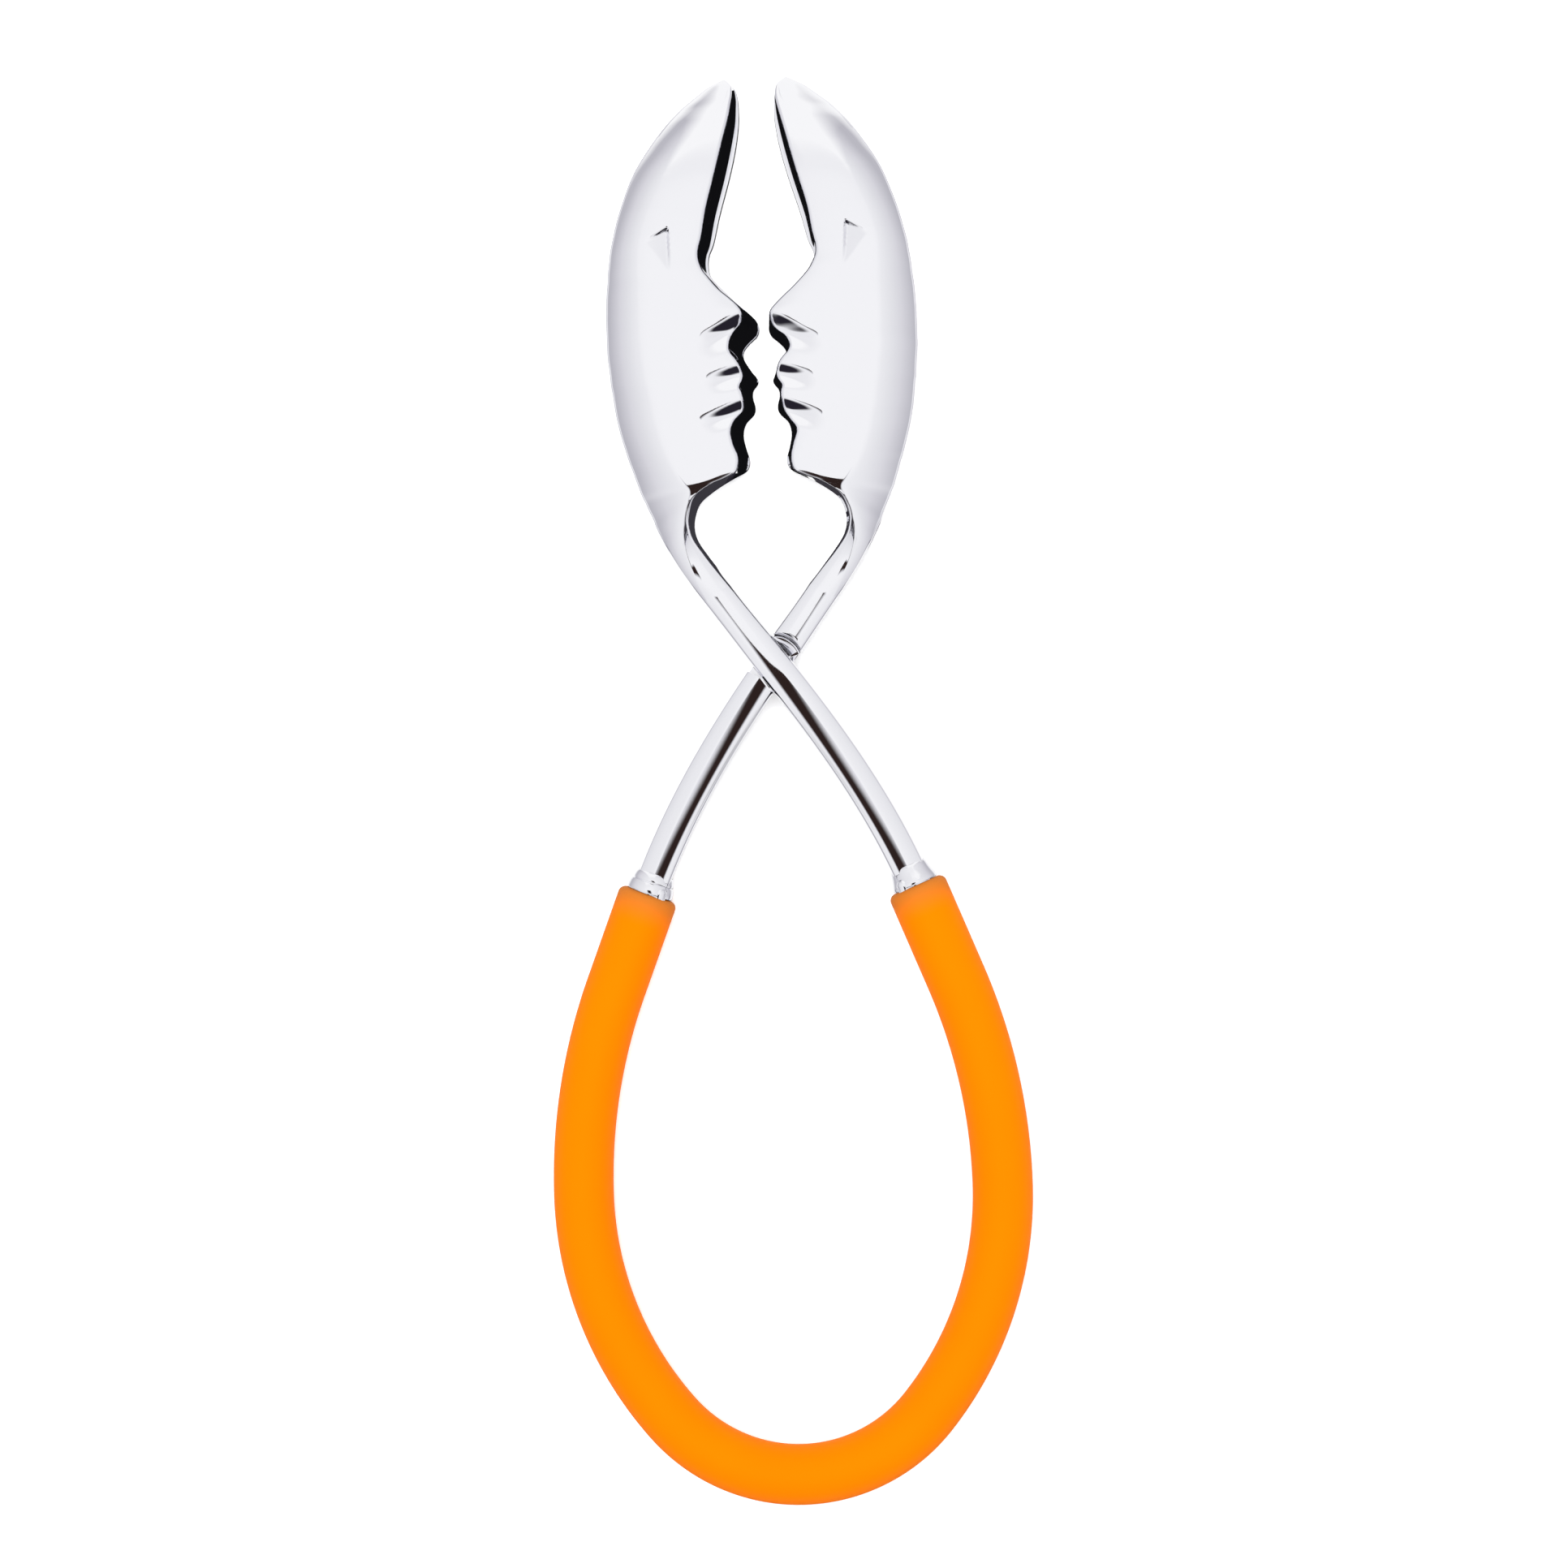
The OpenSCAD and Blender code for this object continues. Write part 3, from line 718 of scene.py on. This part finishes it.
def build_tube(name, side):
    """Sweeps the outer skin, the lip's round and the bore in one closed skin."""
    rows = []
    line = leg_line(LIP_R, 0.8)
    for a in np.linspace(0, 90, 9)[:-1]:
        a = math.radians(90 - a)
        d = LIP_R - LIP_R * math.sin(a)
        rows.append((MOUTH_X + d * SIN, MOUTH_Y - d * COS, COS, SIN, TUBE_R - LIP_R + LIP_R * math.cos(a)))
    rows += [(*r, TUBE_R) for r in line]
    inner = [(*r, BORE_R) for r in line[::-1]]
    inner = [r for r in inner if r[1] < MOUTH_Y - SPIGOT_BORE_END * COS]
    for d, r in ((SPIGOT_BORE_END, BORE_R), (SPIGOT_BORE_END, SPIGOT_BORE_R), (0.0, SPIGOT_BORE_R)):
        inner.append((MOUTH_X + d * SIN, MOUTH_Y - d * COS, COS, SIN, r))
    rows = np.array(rows + inner)
    points, faces = sweep(rows, TUBE_SIDES), [loft_faces(len(rows), TUBE_SIDES, closed=True)]
    if side < 0:
        points, faces = mirrored(points, faces)
    tube = mesh_object(name, points, faces, SILICONE, sharp=50)
    notch = [(0, -1.05), (0.7, -0.95), (1.08, -0.6), (1.12, -0.3), (1.12, 2), (0, 2)]
    combine(tube, [lathe("notch", notch, CHROME, at_lug(side), 48)], "DIFFERENCE")
    spots = np.empty(len(tube.data.vertices) * 3, np.float32)
    tube.data.vertices.foreach_get("co", spots)
    spots = spots.reshape(-1, 3) / MM
    # The painted shade by the collar: full at the mouth, gone 4.5 mm along the tube.
    depth = (MOUTH_X - side * spots[:, 0]) * -SIN + (MOUTH_Y - spots[:, 1]) * COS
    mouth_shade = tube.data.attributes.new("mouth_shade", "FLOAT", "POINT")
    mouth_shade.data.foreach_set("value", (1 - smooth(depth / 4.5)).astype(np.float32))
    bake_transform(tube)
    tube.visible_glossy = False
    return tube


tube_right = build_tube("handle_tube_right", 1)
tube_left = build_tube("handle_tube_left", -1)
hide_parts("handle_tube")
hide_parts("handle_tube")


# ---------------------------------------------------------------- spring bow

# The spring-steel wire inside the tube, from one arm's socket to the other.
def build_core(name, side):
    """Sweeps the wire from its end in the socket to the middle of the loop."""
    sides = 32
    line = leg_line(3.4, 1.2)
    n = len(line)
    ends = [[*line[0, 0:2], TUBE_R], [*line[-1, 0:2], TUBE_R]]
    points = np.concatenate([sweep(np.column_stack([line, np.full(n, WIRE_R)]), sides), ends])
    faces = [loft_faces(n, sides), fan(0, sides, n * sides, False),
             fan((n - 1) * sides, sides, n * sides + 1, True)]
    if side < 0:
        points, faces = mirrored(points, faces)
    core = mesh_object(name, points, faces, STEEL)
    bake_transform(core)
    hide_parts("spring_core")


build_core("spring_bow_right", 1)
build_core("spring_bow_left", -1)


# ---------------------------------------------------------------- hidden steel

# The pivot screw, its washer and the bow's cross pins are the CAD pieces.
for node, slot_name in (("pivot_screw", "pivot_steel"), ("pivot_washer", "pivot_steel"),
                        ("left_core_pin", "spring_steel"), ("right_core_pin", "spring_steel")):
    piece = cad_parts[node]
    piece.data.materials.clear()
    piece.data.materials.append(STEEL)


# ---------------------------------------------------------------- camera

# Straight above the table, a little to the right, with a longish lens.
scene = bpy.context.scene
AIM = np.array([0.0008, 0.0007, 0.005])
DISTANCE = 0.5165
SIDE_ANGLE = math.radians(3)
ROLL = math.radians(2)
back = np.array([math.sin(SIDE_ANGLE), 0, math.cos(SIDE_ANGLE)])
up = np.array([math.sin(ROLL), math.cos(ROLL), 0])
right = np.cross(up, back)
right /= np.linalg.norm(right)
up = np.cross(back, right)
lens = bpy.data.cameras.new("camera")
lens.lens = 85
lens.sensor_width = 36
lens.clip_start = 0.01
camera = bpy.data.objects.new("camera", lens)
spot = AIM + DISTANCE * back
scene.collection.objects.link(camera)
camera.matrix_world = Matrix(np.vstack([np.column_stack([right, up, back, spot]), [0, 0, 0, 1]]).tolist())
scene.camera = camera


# ---------------------------------------------------------------- studio

def flat(name, size_x, size_y, place, material):
    """A flat rectangle on the stage, in metres, facing up or down."""
    x, y = size_x / 2, size_y / 2
    mesh = bpy.data.meshes.new(name)
    mesh.from_pydata([(-x, -y, 0), (x, -y, 0), (x, y, 0), (-x, y, 0)], [], [(0, 1, 2, 3)])
    mesh.materials.append(material)
    made = bpy.data.objects.new(name, mesh)
    made.location = place
    scene.collection.objects.link(made)
    return made


def glow(name, code):
    """A plain emitting material for a card, from a hex code."""
    made = bpy.data.materials.new(name)
    made.use_nodes = True
    made.node_tree.nodes.clear()
    light = add(made.node_tree, "ShaderNodeEmission", Color=linear(code), Strength=1)
    add(made.node_tree, "ShaderNodeOutputMaterial", (300, 0), [("Surface", light.outputs[0])])
    return made


# A pale table top. The chrome doesn't mirror it: it mirrors the light tent.
paper, tree, shader = new_material("pale_table")
shader.inputs["Base Color"].default_value = linear("F4F4F4")
shader.inputs["Roughness"].default_value = 0.9
shader.inputs["Specular IOR Level"].default_value = 0.0
shader.inputs["Emission Color"].default_value = linear("FFFFFF")
shader.inputs["Emission Strength"].default_value = 0.3
floor = flat("floor", 3, 3, (0, 0, -0.0002), paper)
floor.visible_glossy = False

# Cards that only the chrome sees: a dark one above the camera, and three just
# under the table top, below the faces' gap, the tips' gap and the necks.
def only_mirrored(card):
    """Hides a card from everything but reflections."""
    card.visible_camera = False
    card.visible_diffuse = False
    card.visible_shadow = False
    card.visible_transmission = False
    card.visible_volume_scatter = False


def card_glow(name, centre, rim, half):
    """A card that is darkest along its middle line and fades to both sides: the
    share of the rim colour is the smoothstep of |x| over the half width."""
    made = bpy.data.materials.new(name)
    made.use_nodes = True
    tree = made.node_tree
    tree.nodes.clear()
    where = add(tree, "ShaderNodeTexCoord")
    x = add(tree, "ShaderNodeSeparateXYZ", (200, 0), [("Vector", where.outputs["Object"])])
    size = add(tree, "ShaderNodeMath", (400, 0), [(0, x.outputs["X"])], operation="ABSOLUTE")
    share = add(tree, "ShaderNodeMapRange", (600, 0), [("Value", size.outputs[0])],
                interpolation_type="SMOOTHSTEP", From_Min=0.4 * half, From_Max=half)
    mixed = add(tree, "ShaderNodeMix", (800, 0), data_type="RGBA")
    tree.links.new(share.outputs[0], mixed.inputs[0])
    mixed.inputs[6].default_value = linear(centre)
    mixed.inputs[7].default_value = linear(rim)
    light = add(tree, "ShaderNodeEmission", (1000, 0), [("Color", mixed.outputs[2])])
    add(tree, "ShaderNodeOutputMaterial", (1200, 0), [("Surface", light.outputs[0])])
    return made


dark = card_glow("dark_card", "2E2220", "E8E8EC", 0.115)
only_mirrored(flat("camera_front", 0.23, 0.27, (-0.028, -0.105, spot[2] + 0.01), dark))
black = glow("black_card", "101012")
only_mirrored(flat("gap_card", 0.016, 0.048, (0, 0.0675, -0.001), black))
only_mirrored(flat("tip_card", 0.009, 0.0075, (0, 0.09525, -0.001), black))
grey = glow("grey_card", "3A383E")
only_mirrored(flat("loop_card", 0.022, 0.011, (0, 0.0375, -0.001), grey))

# The light tent. Chrome mirrors its brightness by the tilt of the surface, with
# a grey ring, a white window and a dark one in set directions. Everything else
# is lit by a plain grey sky.
world = bpy.data.worlds.new("tent")
scene.world = world
world.use_nodes = True
tree = world.node_tree
tree.nodes.clear()
where = add(tree, "ShaderNodeTexCoord", (-1400, 0))
split = add(tree, "ShaderNodeSeparateXYZ", (-1200, 0), [("Vector", where.outputs["Generated"])])
up_share = add(tree, "ShaderNodeMapRange", (-1000, 0), [("Value", split.outputs["Z"])], From_Min=-1,
               From_Max=1)
ramp = add(tree, "ShaderNodeValToRGB", (-800, 0), [("Fac", up_share.outputs[0])])
ramp.color_ramp.interpolation = "LINEAR"


def tent_stop(tilt):
    """The ramp position that a surface of this tilt, in degrees, mirrors."""
    return (math.cos(math.radians(2 * tilt)) + 1) / 2


def fill_ramp(made, stops):
    """Puts (tilt, hex) stops on a colour ramp, from the steepest tilt down."""
    bar = made.color_ramp
    while len(bar.elements) < len(stops):
        bar.elements.new(0.5)
    for element, (tilt, code) in zip(bar.elements, stops):
        element.position = tent_stop(tilt)
        element.color = linear(code)


def over(below, share, colour, at):
    """Lays a colour over another one by a share."""
    made = add(tree, "ShaderNodeMix", at, data_type="RGBA")
    tree.links.new(share, made.inputs[0])
    tree.links.new(below, made.inputs[6])
    made.inputs[7].default_value = linear(colour)
    return made.outputs[2]


fill_ramp(ramp,
          [(90, "FFFFFF"), (70, "FFFFFF"), (62, "C0BFC6"), (57, "C0BFC6"), (50, "CFCED4"), (42, "DDDCE1"),
                 (30, "E8E8EB"), (15, "F2F2F4"), (6, "FBFBFC"), (0, "FBFBFC")])
line = add(tree, "ShaderNodeValToRGB", (-800, -600), [("Fac", up_share.outputs[0])])
fill_ramp(line,
          [(90, "000000"), (66, "000000"), (64, "FFFFFF"), (61, "FFFFFF"), (59, "000000"), (0, "000000")])
level = add(tree, "ShaderNodeVectorMath", (-1200, -900), [(0, where.outputs["Generated"])],
            operation="MULTIPLY")
level.inputs[1].default_value = (1, 1, 0)
unit = add(tree, "ShaderNodeVectorMath", (-1000, -900), [(0, level.outputs[0])], operation="NORMALIZE")
heading = add(tree, "ShaderNodeSeparateXYZ", (-800, -900), [("Vector", unit.outputs[0])])
near = add(tree, "ShaderNodeMapRange", (-600, -700), [("Value", heading.outputs["Y"])],
           From_Min=-0.15, From_Max=-0.35)
ring = add(tree, "ShaderNodeMath", (-400, -600), [(0, line.outputs["Color"]), (1, near.outputs[0])],
           operation="MULTIPLY")
far = add(tree, "ShaderNodeMapRange", (-600, -900), [("Value", heading.outputs["Y"])],
          From_Min=0.85, From_Max=0.94)
tilted = add(tree, "ShaderNodeMapRange", (-600, -1100), [("Value", split.outputs["Z"])],
             From_Min=math.cos(math.radians(24)), From_Max=math.cos(math.radians(40)))
window = add(tree, "ShaderNodeMath", (-400, -900), [(0, far.outputs[0]), (1, tilted.outputs[0])],
             operation="MULTIPLY")
ahead = add(tree, "ShaderNodeMapRange", (-600, -300), [("Value", heading.outputs["Y"])],
            interpolation_type="SMOOTHSTEP", From_Min=-0.66, From_Max=-0.8)
tall = add(tree, "ShaderNodeMapRange", (-600, -450), [("Value", split.outputs["Z"])],
           interpolation_type="SMOOTHSTEP", From_Min=0.9, From_Max=0.5)
cone = add(tree, "ShaderNodeMath", (-400, -300), [(0, ahead.outputs[0]), (1, tall.outputs[0])],
           operation="MULTIPLY")
beside = add(tree, "ShaderNodeMapRange", (-600, -1300), [("Value", heading.outputs["Y"])],
             From_Min=-0.25, From_Max=-0.6, To_Max=0.6)
mirrored = over(ramp.outputs["Color"], beside.outputs[0], "F4F4F6", (-200, 0))
mirrored = over(mirrored, ring.outputs[0], "8E8B96", (-150, 0))
mirrored = over(mirrored, window.outputs[0], "FFFFFF", (-100, 0))
mirrored = over(mirrored, cone.outputs[0], "26232C", (100, 0))
seen = add(tree, "ShaderNodeLightPath", (-600, 300))
soft = add(tree, "ShaderNodeMix", (-200, 0), data_type="RGBA")
tree.links.new(seen.outputs["Is Glossy Ray"], soft.inputs[0])
soft.inputs[6].default_value = (0.32, 0.32, 0.33, 1)
tree.links.new(mirrored, soft.inputs[7])
shine = add(tree, "ShaderNodeBackground", (0, 0), [("Color", soft.outputs[2])])
add(tree, "ShaderNodeOutputWorld", (200, 0), [("Surface", shine.outputs[0])])

# One large soft light overhead, not mirrored.
area = bpy.data.lights.new("overhead", "AREA")
area.shape = "DISK"
area.size = 0.6
area.energy = 12.5
lamp = bpy.data.objects.new("overhead", area)
lamp.location = (0, 0.1, 1.0)
lamp.visible_glossy = False
scene.collection.objects.link(lamp)

scene.view_settings.view_transform = "Standard"
